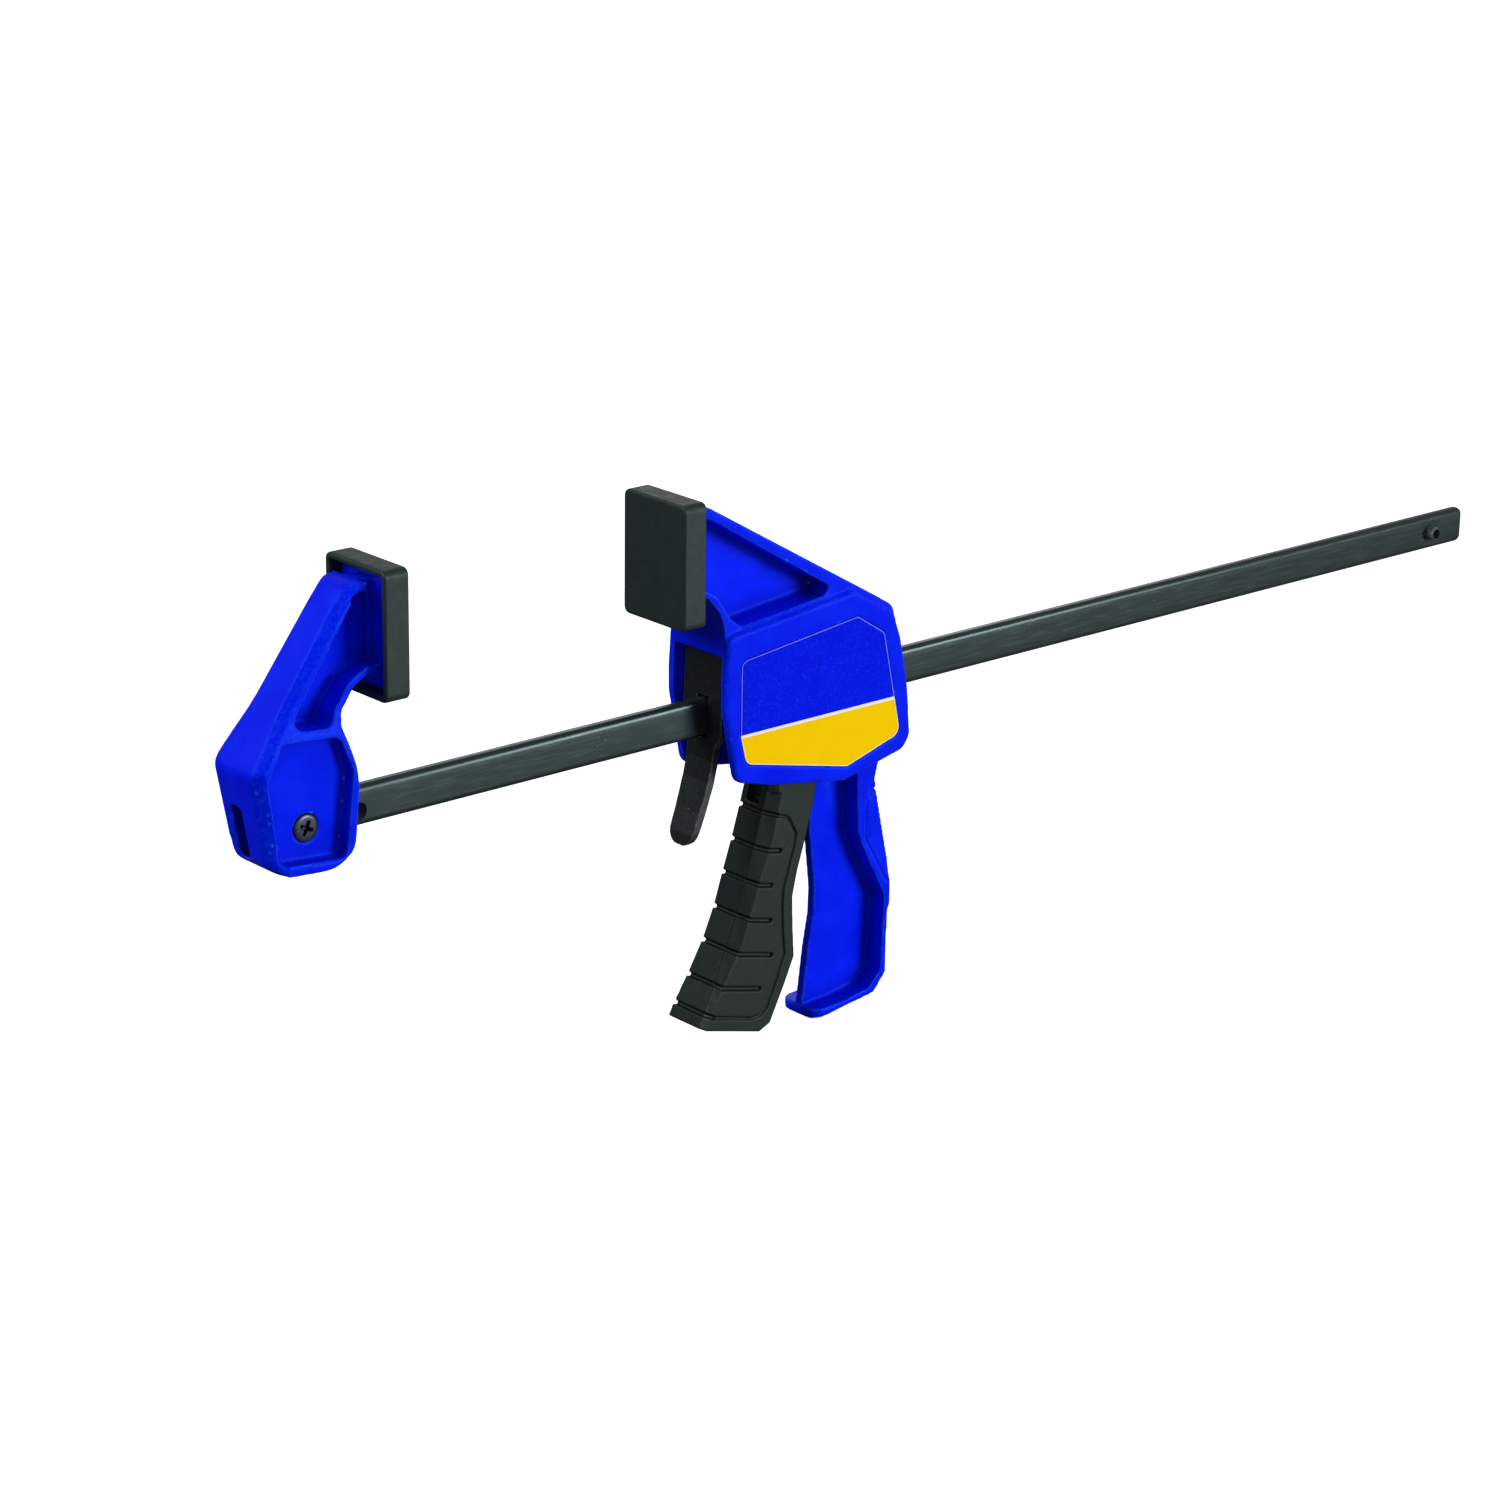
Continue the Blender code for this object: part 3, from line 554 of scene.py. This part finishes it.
def black_steel(name, tones, along=(1, 1, 1), pale_trim=True):
    """Black oxide on steel: dark and specked, and where the oxide wears, pale on edges and sides;
    painted shade in its own tight corners.

    along stretches the drawing marks: the smaller a number, the longer they run that way.
    """
    s = Surface(name, Metallic=0.80)
    tone = s.mix(s.noise(9.0, 4.0), *tones)
    drawn = s.noise(0.7, 4.0, 0.65, along)
    tone = s.mix(s.ramp(drawn, [(0.52, 0.0), (0.80, 0.45)]), tone, (0.12, 0.14, 0.135))
    if pale_trim:
        rubs = s.ramp(s.noise(1.6, 3.0), [(0.36, 0.1), (0.58, 1.0)])
        tone = s.mix(s.math("MULTIPLY", s.edges(0.512, 0.55), rubs), tone, (0.30, 0.34, 0.34))
        cut_sides = s.ramp(s.facing(), [(0.6, 0.0), (0.9, 1.0)])
        tone = s.mix(cut_sides, tone, (0.085, 0.100, 0.100))
    # Painted shade: near black in the piece's own tight corners.
    tone = s.mix(s.recess(0.9), (0.004, 0.005, 0.006), tone)
    patches = s.ramp(s.noise(20.0), [(0.52, 0.0), (0.62, 1.0)])
    specks = s.math("MULTIPLY", s.specks(1.9, 0.08), patches)
    s.colour(s.mix(specks, tone, (0.35, 0.38, 0.38)))
    s.roughness(s.ramp(drawn, [(0.3, 0.30), (0.7, 0.42)]))
    s.bump(drawn, 0.008)
    return s.material


def plain_steel():
    """Zinc-plated steel, lightly brushed."""
    s = Surface("plain_steel", Metallic=1.0)
    s.colour(s.mix(s.noise(3.0, 3.0), (0.32, 0.33, 0.34), (0.50, 0.50, 0.50)))
    s.roughness(s.ramp(s.noise(0.9, 3.0), [(0.3, 0.26), (0.7, 0.40)]))
    s.bump(s.noise(0.3), 0.006)
    return s.material


def film(name, first, second, speckle=None):
    """Printed plastic film; speckle is the colour of fine dots in the print."""
    s = Surface(name, Roughness=0.34, Specular_IOR_Level=0.15, Specular_Tint=(*second, 1.0))
    tone = s.mix(s.noise(5.0, 3.0), first, second)
    if speckle:
        dots = s.ramp(s.noise(0.55, 3.0, 0.7), [(0.56, 0.0), (0.72, 0.7)])
        tone = s.mix(dots, tone, speckle)
    s.colour(tone)
    s.bump(s.noise(0.8), 0.006)
    return s.material


# Pieces


def make_fixed_jaw(blue):
    """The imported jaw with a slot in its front, a rounder foot and a ring round its screw."""
    jaw = copy_of("fixed_jaw", "fixed_jaw_shell")
    filled = [(-47.5, -8.2, 0), (-40.9, -8.2, 0), (-40.9, 7.2, 0), (-45.2, 7.2, 0)]
    behind_front = [(-44.9, 8.0, 0), (-42.0, -9.0, 0), (-40.7, -9.0, 0), (-40.7, 8.0, 0)]
    plug = prism("plug", filled, -1, 4.8)
    boolean(plug, "INTERSECT", prism("c", behind_front, -2, 6))
    boolean(jaw, "UNION", plug)
    slot = [(0.1, -7.9, 2.2), (4.6, -7.9, 2.2), (4.6, 6.9, 2.2), (0.1, 6.9, 2.2)]
    chamber = [(-43.7, 7.9, 0.6), (-40.9, -8.7, 0.6), (-35.5, -8.7, 0.6), (-35.5, 7.9, 0.6)]
    boolean(
        jaw, "DIFFERENCE", turned_prism("c", slot, -55, -39), prism("c", chamber, -2.4, 5.8)
    )
    # Beside the arm's top, so that only a thin neck joins it to the pad's plate
    neck = [(-9.4, 55.5, 2.0), (-4.3, 55.5, 0.5), (-4.3, 67.0, 0), (-8.6, 67.0, 0)]
    for side in (-1, 1):
        boolean(jaw, "DIFFERENCE", prism("c", neck, *sorted((side * 3.4, side * 14))))
    boolean(jaw, "INTERSECT", prism("c", ROUND_FOOT, -20, 20))
    ring = prism("ring", circle((SCREW_X, 0), 4.9), *SCREW_SEAT_Y)
    boolean(ring, "DIFFERENCE", prism("c", circle((SCREW_X, 0), SCREW_SEAT_RADIUS), -8, -4))
    boolean(jaw, "UNION", ring)
    mould(jaw, voxel=0.36, passes=5)
    x, y, z = points_and_normals(jaw)[0].T
    soften(jaw, ((x < -40.6) | (z < -8.6) | (z > 60.0)) & (x < -5.5), passes=22)
    x, y, z = points_and_normals(jaw)[0].T
    beside_slot = (np.abs(y) > 5.6) & (z < -3.0)
    foot_front = (x < -37.5) & (beside_slot | (z < -8.8))
    arm_top = (x < -9.5) & (z > 57.5)
    soften(jaw, foot_front | arm_top, passes=110)
    thin(jaw, DENSE_PIECE["fixed_jaw"])
    return seat(jaw, "bar_assembly", [blue], ["fixed_jaw"])


def make_moving_jaw(blue):
    """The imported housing, arm and handle, with a thicker toe and the palm pad's line."""
    jaw = copy_of("moving_jaw", "moving_jaw_shell")
    thick = [(146.75, -98.7, 0.8), (160.0, -96.6, 0), (160.0, -95.4, 0), (146.75, -96.2, 1.0)]
    boolean(jaw, "UNION", prism("toe", thick, -7.96, 7.96))
    toe_block = [(140, -12, 0), (158, -12, 0), (158, 12, 0), (140, 12, 0)]
    toe_kept = [(146.7, -8, 4.6), (165, -8, 0), (165, 8, 0), (146.7, 8, 4.6)]
    corners = plan_prism("c", toe_block, -101, -93.5)
    boolean(corners, "DIFFERENCE", plan_prism("c", toe_kept, -103, -90))
    boolean(jaw, "DIFFERENCE", corners)
    mould(jaw, voxel=0.40, passes=4)
    x, _, z = points_and_normals(jaw)[0].T
    top_corner = (x > 166.5) & (z > 19.5)
    handle_back = (x > 174.2) & (z < -9)
    toe_underside = z < -96.6
    soften(jaw, top_corner | handle_back | toe_underside, passes=25)
    points, normals = points_and_normals(jaw)
    line = step_down(distance_to_route(points, PALM_LINE), 0.35, 0.5)
    flange = (np.abs(points[:, 1]) > 6.5) & (points[:, 2] < -24)
    points -= normals * (PALM_DEPTH * line * flange)[:, None]
    set_points(jaw, points)
    thin(jaw, DENSE_PIECE["moving_jaw"])
    return seat(jaw, "jaw_carriage", [blue], ["moving_jaw"])


def make_trigger(surface):
    """The head as packed, and the grip moulded finely with its grooves and panel line."""
    head = copy_of("trigger", "trigger_head")
    boolean(head, "INTERSECT", plan_prism("c", TRIGGER_PLAN, TRIGGER_SEAM, 40))
    seat(head, "trigger", [surface], ["trigger"], sharp=32)
    grip = copy_of("trigger", "trigger_grip")
    boolean(grip, "INTERSECT", plan_prism("c", TRIGGER_PLAN, -110, TRIGGER_SEAM + 0.4))
    hollow = [(126.0, -29.4, 0.6), (126.0, -15.0, 0), (133.0, -15.0, 0), (131.6, -29.6, 0.6)]
    boolean(grip, "DIFFERENCE", prism("c", hollow, -2.6, 2.6))
    mould(grip, voxel=0.25, passes=3)
    points, normals = points_and_normals(grip)
    outward = points[:, 1] * normals[:, 1] > -0.05
    front = normals[:, 0] < -0.2
    side = (np.abs(normals[:, 1]) > 0.3) & (np.abs(points[:, 1]) > 5.2)
    skin = outward & (front | side) & (points[:, 2] < -27)
    depth = np.zeros(len(points))
    for route in GRIP_GROOVES:
        groove = step_down(distance_to_route(points, route), GROOVE_WIDTH / 2, GROOVE_BLUR)
        depth = np.maximum(depth, GROOVE_DEPTH * groove)
    line = step_down(distance_to_route(points, PANEL_LINE), PANEL_WIDTH / 2, GROOVE_BLUR)
    depth = np.maximum(depth, PANEL_DEPTH * line * (np.abs(points[:, 1]) > 5.0))
    points -= normals * (depth * skin)[:, None]
    set_points(grip, points)
    thin(grip, DENSE_PIECE["trigger"])
    return seat(grip, "trigger", [surface], ["trigger"])


def pad_lip(node):
    """The inward lip round a pad's open back, which keeps it on the jaw's plate."""
    low, high = (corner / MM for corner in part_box(node))
    away = 1 if node == "moving_jaw_pad" else -1
    back = high.x if away > 0 else low.x
    middle = (low.z + high.z) / 2 - BAR_Z / MM
    half_y, half_z = high.y, (high.z - low.z) / 2
    rings = []
    for inset, corner_radius in PAD_LIP_RINGS:
        y, z = half_y - inset, half_z - inset
        corners = [(-y, middle - z), (y, middle - z), (y, middle + z), (-y, middle + z)]
        rings.append([(*corner, corner_radius) for corner in corners])
    span = sorted(back - away * depth for depth in PAD_LIP_DEPTH)
    hole = turned_prism("c", rings[1], span[0] - 1, span[1] + 1)
    return boolean(turned_prism("l", rings[0], *span), "DIFFERENCE", hole)


def make_pads(surface):
    """Each pad's cup with the lip added."""
    for node, body in (("fixed_jaw_pad", "bar_assembly"), ("moving_jaw_pad", "jaw_carriage")):
        pad = copy_of(node, node + "_moulding")
        boolean(pad, "UNION", pad_lip(node))
        mould(pad, voxel=0.28, passes=3)
        seat(pad, body, [surface], [node])


def bevel_rim(obj, half, width, segments):
    """Rounds the edges of an extruded outline at y = +-half."""
    bm = bmesh.new()
    bm.from_mesh(obj.data)
    edges = [
        e for e in bm.edges
        if all(abs(abs(v.co.y) - half) < 0.01 for v in e.verts)
        and e.verts[0].co.y * e.verts[1].co.y > 0 and e.calc_face_angle(0.0) > 0.5
    ]
    bmesh.ops.bevel(
        bm, geom=edges, offset=width, segments=segments, profile=0.5, affect="EDGES"
    )
    bm.to_mesh(obj.data)
    bm.free()


def make_bar(surface):
    """The flat bar with rolled edges, cut square where the fixed jaw hides it."""
    half_z = BAR_HEIGHT / 2
    outline = [
        (BAR_X[0], -half_z, 0), (BAR_X[1], -half_z, BAR_END_RADIUS),
        (BAR_X[1], half_z, BAR_END_RADIUS), (BAR_X[0], half_z, 0),
    ]
    bar = prism("bar_steel", outline, -BAR_THICK / 2, BAR_THICK / 2)
    bevel_rim(bar, BAR_THICK / 2, BAR_EDGE_RADIUS, 8)
    boolean(
        bar, "DIFFERENCE",
        prism("c", circle((SCREW_X, 0), SCREW_HOLE_RADIUS), -5, 5),
        prism("c", circle(SPARE_HOLE, SPARE_HOLE_RADIUS), -5, 5),
        prism("c", circle((STOP_PIN_X, 0), STOP_PIN_HOLE_RADIUS), -5, 5),
    )
    return seat(bar, "bar_assembly", [surface], ["bar"], sharp=32)


def make_stop_pin(surface):
    """A rolled spring pin: a slit tube with chamfered ends."""
    low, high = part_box("stop_pin")
    half = (high.y - low.y) / MM / 2
    profile = [(1.9, -half), (2.3, -half + 0.6), (2.3, half - 0.6), (1.9, half)]
    pin = turned("stop_pin_roll", (STOP_PIN_X, 0), profile)
    bore = prism("c", circle((STOP_PIN_X, 0), 1.62), -half - 1, half + 1)
    near, far = STOP_PIN_X + 0.5, STOP_PIN_X + 4
    gap = [(near, -0.1, 0), (far, -0.1, 0), (far, 0.1, 0), (near, 0.1, 0)]
    boolean(pin, "DIFFERENCE", bore, prism("c", gap, -half - 1, half + 1))
    return seat(pin, "bar_assembly", [surface], ["stop_pin"], sharp=32)


def make_screw(surface):
    """A pan-head screw with a cross recess."""
    profile = [
        (2.9, -7.4), (3.40, -7.33), (3.66, -7.15), (3.76, -6.9), (3.76, -5.4), (3.6, -5.1),
        (2.1, -5.1), (2.1, 7.5), (1.8, 7.8),
    ]
    screw = turned("jaw_screw", (SCREW_X, 0), profile)
    arm = [(-2.2, -0.56, 0.3), (2.2, -0.56, 0.3), (2.2, 0.56, 0.3), (-2.2, 0.56, 0.3)]
    for turn in (24, 114):
        cutter = prism("c", arm, -8, -5.35)
        about_screw = Matrix.Rotation(math.radians(turn), 4, "Y")
        cutter.data.transform(Matrix.Translation((SCREW_X, 0, 0)) @ about_screw)
        boolean(screw, "DIFFERENCE", cutter)
    boolean(screw, "DIFFERENCE", turned("c", (SCREW_X, 0), [(1.15, -8), (0.4, -4.4)], 24))
    return seat(screw, "bar_assembly", [surface], ["fixed_jaw_screw"], sharp=32)


def make_nut(surface):
    """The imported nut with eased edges."""
    nut = bevelled(copy_of("fixed_jaw_nut", "jaw_nut"), width=0.25, segments=2)
    return seat(nut, "bar_assembly", [surface], ["fixed_jaw_nut"], sharp=32)


def make_release_lever(surface):
    """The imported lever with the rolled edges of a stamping."""
    lever = mould(copy_of("release_lever", "release_plate"), voxel=0.17, passes=4)
    return seat(lever, "release_lever", [surface], ["release_lever"])


def make_drive_levers(surface):
    """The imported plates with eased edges."""
    for end in ("front", "rear"):
        node = "drive_lever_" + end
        plate = bevelled(copy_of(node, node + "_plate"), width=0.35, segments=3)
        seat(plate, "drive_levers", [surface], [node], sharp=32)


def make_trigger_pin(surface):
    """A plain pin with chamfered ends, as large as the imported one."""
    chamfer = 0.5
    (x0, y0, z0), (x1, y1, z1) = (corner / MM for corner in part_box("trigger_pin"))
    centre = ((x0 + x1) / 2, (z0 + z1) / 2 - BAR_Z / MM)
    radius = (x1 - x0) / 2
    profile = [
        (radius - chamfer, y0), (radius, y0 + chamfer),
        (radius, y1 - chamfer), (radius - chamfer, y1),
    ]
    pin = turned("pivot_pin", centre, profile)
    return seat(pin, "jaw_carriage", [surface], ["trigger_pin"], sharp=32)


def make_spring(node, surface, wire, turns):
    """A compression coil round the bar, as long and wide as the imported spring."""
    sides, steps_a_turn = 10, 40
    low, high = (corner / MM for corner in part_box(node))
    radius = (high.y - low.y - wire) / 2
    steps = int(turns * steps_a_turn)
    bm = bmesh.new()
    rings = []
    for k in range(steps + 1):
        share = k / steps
        angle = 2 * math.pi * turns * share
        x = low.x + wire / 2 + (high.x - low.x - wire) * share
        out = Vector((0, math.cos(angle), math.sin(angle)))
        ring = []
        for j in range(sides):
            turn = 2 * math.pi * j / sides
            offset = Vector((math.sin(turn), 0, 0)) + out * math.cos(turn)
            ring.append(bm.verts.new(Vector((x, 0, 0)) + out * radius + offset * wire / 2))
        rings.append(ring)
    for ring, following in zip(rings, rings[1:]):
        for j in range(sides):
            k = (j + 1) % sides
            bm.faces.new((ring[j], ring[k], following[k], following[j]))
    bm.faces.new(rings[0])
    bm.faces.new(rings[-1])
    coil = mesh_object(node + "_coil", bm)
    seat(coil, "jaw_carriage", [surface], [node], sharp=50)
    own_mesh(coil)


def make_label(side, node, films):
    """Printed film in a recess: speckled blue above a pale line, yellow below, pale rim.

    films are the blue, the pale line's, the yellow and the blue part's rim.
    """
    blue, pale, yellow, blue_rim = range(4)
    line_low, line_high = LABEL_LINE_Z - LABEL_LINE / 2, LABEL_LINE_Z + LABEL_LINE / 2
    label = copy_of(node, node + "_print")
    bm = bmesh.new()
    bm.from_mesh(label.data)
    bmesh.ops.dissolve_limit(bm, angle_limit=0.02, verts=bm.verts, edges=bm.edges)
    for z in (line_low, line_high):
        geometry = list(bm.verts) + list(bm.edges) + list(bm.faces)
        bmesh.ops.bisect_plane(bm, geom=geometry, plane_co=(0, 0, z), plane_no=(0, 0, 1))
    outer = max(side * v.co.y for v in bm.verts)
    front = [f for f in bm.faces if all(side * v.co.y > outer - 0.01 for v in f.verts)]
    rim = bmesh.ops.inset_region(bm, faces=front, thickness=LABEL_EDGE, use_even_offset=True)
    for face in bm.faces:
        z = face.calc_center_median().z
        face.material_index = blue if z > line_high else yellow if z < line_low else pale
    for face in rim["faces"]:
        face.material_index = blue_rim if face.material_index == blue else pale
    bm.to_mesh(label.data)
    bm.free()
    return seat(label, "jaw_carriage", films, [node], sharp=30)


# Stage


def make_camera():
    """The photograph's view: 41 degrees round to the left, looking 19 degrees down."""
    azimuth, elevation, roll = (math.radians(angle) for angle in VIEW_ANGLES)
    outward = math.cos(elevation)
    back = Vector((math.sin(azimuth) * outward, -math.cos(azimuth) * outward, math.sin(elevation)))
    level = Vector((math.cos(azimuth), math.sin(azimuth), 0))
    upright = back.cross(level)
    right = level * math.cos(roll) + upright * math.sin(roll)
    up = upright * math.cos(roll) - level * math.sin(roll)
    data = bpy.data.cameras.new("camera")
    data.lens = LENS_MM
    data.sensor_width = SENSOR_MM
    camera = adopt(bpy.data.objects.new("camera", data))
    place = Matrix((right, up, back)).transposed().to_4x4()
    place.translation = VIEW_FROM
    camera.matrix_world = place
    bpy.context.scene.camera = camera


def area_light(name, towards, size, brightness):
    """A soft square light out that way; a white face turned to it gets that brightness."""
    middle = (cad_box[0] + cad_box[1]) / 2
    data = bpy.data.lights.new(name, "AREA")
    data.size = size
    data.energy = brightness * math.pi**2 * LIGHT_DISTANCE**2
    light = adopt(bpy.data.objects.new(name, data))
    direction = Vector(towards).normalized()
    light.location = middle + direction * LIGHT_DISTANCE
    light.rotation_mode = "QUATERNION"
    light.rotation_quaternion = direction.to_track_quat("Z", "Y")


def make_floor():
    """White paper that glows a little, so that it stays white and takes only a faint shadow."""
    bm = bmesh.new()
    bmesh.ops.create_grid(bm, x_segments=1, y_segments=1, size=FLOOR_HALF)
    floor = mesh_object("floor", bm)
    floor.location = (0, 0, cad_box[0].z - FLOOR_GAP)
    glow = {"Emission_Color": (1, 1, 1, 1), "Emission_Strength": FLOOR_GLOW}
    paper = Surface("floor_paper", Roughness=0.9, Specular_IOR_Level=0.1, **glow)
    paper.colour(paper.mix(paper.noise(60.0), (0.42, 0.42, 0.42), (0.44, 0.44, 0.44)))
    floor.data.materials.append(paper.material)
    floor.visible_diffuse = False
    floor.visible_glossy = False


def make_world():
    """Dim surroundings, brighter up and to the right, behind a plain white backdrop."""
    world = bpy.data.worlds.new("studio")
    bpy.context.scene.world = world
    world.use_nodes = True
    tree = world.node_tree
    room = tree.nodes["Background"]
    out = tree.nodes["World Output"]
    direction = tree.nodes.new("ShaderNodeTexCoord").outputs["Generated"]
    dot = tree.nodes.new("ShaderNodeVectorMath")
    dot.operation = "DOT_PRODUCT"
    tree.links.new(direction, dot.inputs[0])
    dot.inputs[1].default_value = Vector(BRIGHT_SIDE).normalized()
    spread = tree.nodes.new("ShaderNodeMapRange")
    spread.inputs["From Min"].default_value = -1.0
    spread.inputs["To Min"].default_value = ROOM_LIGHT[0]
    spread.inputs["To Max"].default_value = ROOM_LIGHT[1]
    tree.links.new(dot.outputs["Value"], spread.inputs["Value"])
    tree.links.new(spread.outputs[0], room.inputs["Strength"])
    backdrop = tree.nodes.new("ShaderNodeBackground")
    seen = tree.nodes.new("ShaderNodeLightPath").outputs["Is Camera Ray"]
    mixed = tree.nodes.new("ShaderNodeMixShader")
    room.inputs["Color"].default_value = (1.0, 1.0, 1.0, 1.0)
    backdrop.inputs["Color"].default_value = (1.0, 1.0, 1.0, 1.0)
    tree.links.new(seen, mixed.inputs[0])
    tree.links.new(room.outputs[0], mixed.inputs[1])
    tree.links.new(backdrop.outputs[0], mixed.inputs[2])
    tree.links.new(mixed.outputs[0], out.inputs["Surface"])


def main():
    make_camera()
    make_floor()
    make_world()
    for name, (towards, size, brightness) in LIGHTS.items():
        area_light(name, towards, size, brightness)
    bpy.context.scene.view_settings.view_transform = "Standard"
    blue = blue_plastic()
    steel = plain_steel()
    bar_finish = black_steel("black_oxide_bar", BAR_TONES, along=(0.06, 1, 1), pale_trim=False)
    lever_finish = black_steel("black_oxide_lever", LEVER_TONES)
    make_fixed_jaw(blue)
    make_moving_jaw(blue)
    make_trigger(trigger_plastic())
    make_pads(pad_rubber())
    make_bar(bar_finish)
    make_stop_pin(lever_finish)
    make_screw(black_steel("black_zinc_screw", SCREW_TONES, pale_trim=False))
    make_nut(steel)
    make_release_lever(lever_finish)
    make_drive_levers(steel)
    make_trigger_pin(steel)
    make_spring("release_spring", steel, wire=0.9, turns=2.25)
    make_spring("drive_spring", steel, wire=1.1, turns=6.25)
    films = [
        film("film_blue", (0.0, 0.006, 0.72), (0.0, 0.011, 0.92), speckle=(0.02, 0.07, 1.0)),
        film("film_pale", (0.80, 0.82, 0.86), (0.90, 0.90, 0.92)),
        film("film_yellow", (0.97, 0.60, 0.0), (1.0, 0.66, 0.0)),
        film("film_outline", (0.16, 0.22, 0.80), (0.24, 0.30, 0.85)),
    ]
    make_label(-1, "label_right", films)
    make_label(1, "label_left", films)


main()
